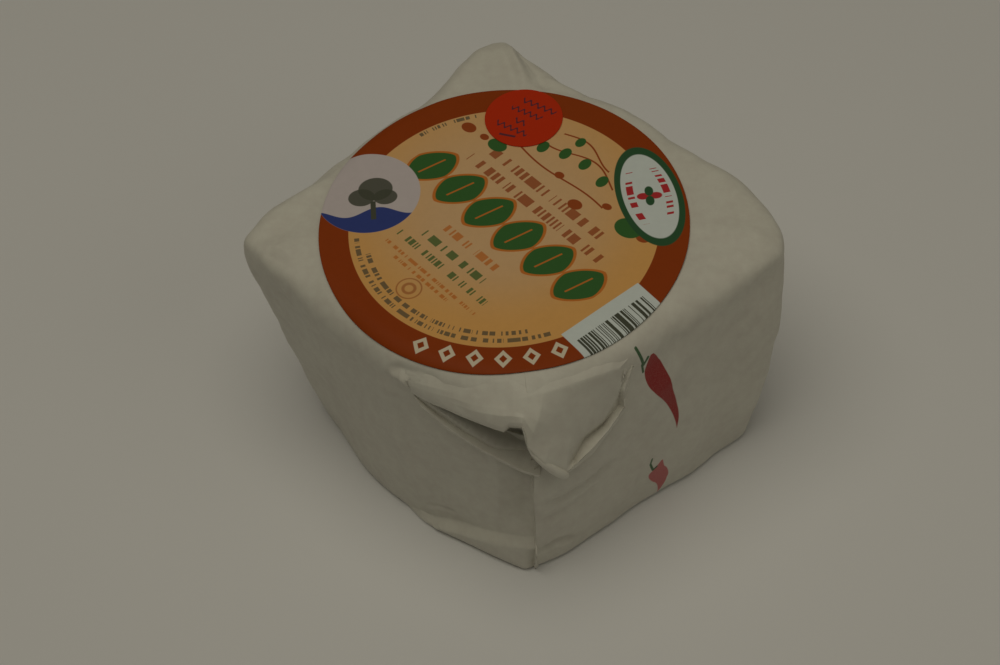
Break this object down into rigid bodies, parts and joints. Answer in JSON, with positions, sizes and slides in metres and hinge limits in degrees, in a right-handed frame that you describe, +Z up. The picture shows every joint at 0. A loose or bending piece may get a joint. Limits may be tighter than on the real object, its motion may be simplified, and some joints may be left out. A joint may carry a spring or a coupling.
{
  "type": "paper-wrapped cheese round",
  "caption": "Thick round of cheese folded into a squarish paper parcel with corner ears, a round label covering its top and a small dot sticker.",
  "frame": {"origin": "on the flat base, straight below the middle of the round label", "axes": "+Z up, -Y towards the side where the last corner of the paper is folded down, +X to the right seen from that side"},
  "size_m": [0.1604, 0.1511, 0.0792],
  "materials": {
    "wrapping_paper": "satin coated food paper, creased",
    "label_print": "printed satin label, brown-orange rim and tan middle",
    "dot_red": "bright red satin sticker"
  },
  "bodies": {
    "root": {"wrapper": "wrapping_paper", "label": "label_print", "dot_sticker": "dot_red"}
  },
  "joints": []
}
